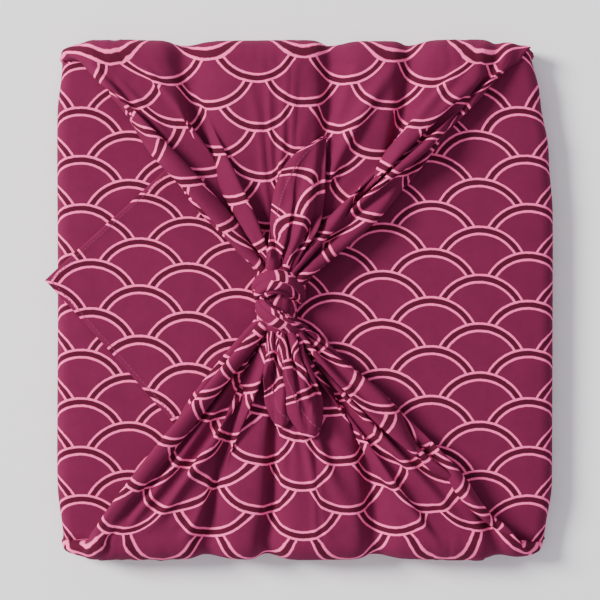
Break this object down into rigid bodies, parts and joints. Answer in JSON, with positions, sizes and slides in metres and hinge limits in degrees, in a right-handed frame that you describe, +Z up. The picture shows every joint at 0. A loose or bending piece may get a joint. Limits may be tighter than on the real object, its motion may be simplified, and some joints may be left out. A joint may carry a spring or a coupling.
{
  "type": "furoshiki gift wrap, folded and tied",
  "caption": "Square cotton wrapping cloth folded round a flat parcel space, its sides lapped and its ends gathered into a knot with free tails on top.",
  "frame": {"origin": "middle of the flat parcel's underside, on the surface that it rests on", "axes": "+X to the right across the parcel, +Y along it towards the gathered end whose free corner is the longer, +Z up out of the knot"},
  "size_m": [0.348, 0.3514, 0.0471],
  "materials": {
    "printed_cotton": "matt plain-woven cotton, burgundy with pale pink printed lines"
  },
  "bodies": {
    "root": {"furoshiki_cloth": "printed_cotton"}
  },
  "joints": []
}
